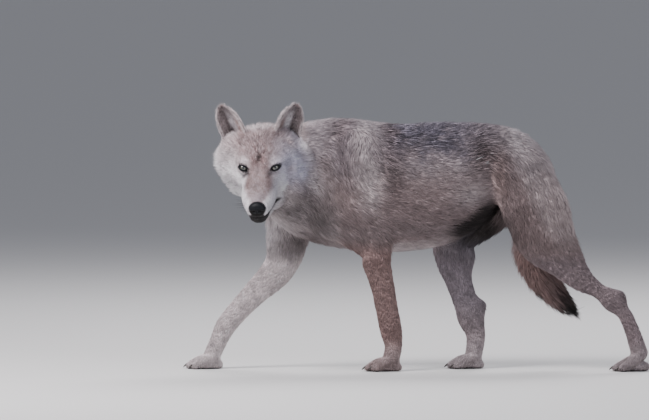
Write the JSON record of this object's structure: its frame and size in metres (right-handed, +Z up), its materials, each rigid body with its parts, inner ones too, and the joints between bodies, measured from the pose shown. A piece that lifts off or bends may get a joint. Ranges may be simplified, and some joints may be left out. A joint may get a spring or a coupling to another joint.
{
  "type": "grey wolf model",
  "caption": "Life-size still model of a walking grey wolf in its thin summer coat, head turned to look out over its left side, standing on four paws.",
  "frame": {"origin": "centre of the bounding box in plan, on the floor under the paws", "axes": "+Z up; the wolf walks towards -X with its left side towards -Y and its nose points to -Y"},
  "size_m": [1.3042, 0.4318, 0.755],
  "materials": {
    "pale_coat": "matt, short pale fur",
    "buff_coat": "matt, greyish buff fur",
    "grey_coat": "matt, grey and black fur",
    "tan_coat": "matt, reddish tan fur",
    "dark_coat": "matt, dark brown fur",
    "eyes": "wet gloss, pale greenish amber iris round a black pupil",
    "nose": "bare, pebbled, blue-black and slightly moist",
    "claws": "smooth dark horn"
  },
  "bodies": {
    "root": {"neck": "pale_coat", "chest": "buff_coat", "belly": "grey_coat", "rump": "buff_coat", "foreleg_left": "tan_coat", "forepaw_left": "pale_coat", "foreleg_right": "tan_coat", "forepaw_right": "pale_coat", "thigh_left": "buff_coat", "shank_left": "buff_coat", "hindpaw_left": "pale_coat", "thigh_right": "buff_coat", "shank_right": "buff_coat", "hindpaw_right": "pale_coat", "eye_left": "eyes", "ear_left": "grey_coat", "eye_right": "eyes", "ear_right": "grey_coat", "nose": "nose", "lower_jaw": "pale_coat", "head": "pale_coat", "tail_root": "buff_coat", "tail_brush": "dark_coat"}
  },
  "joints": []
}
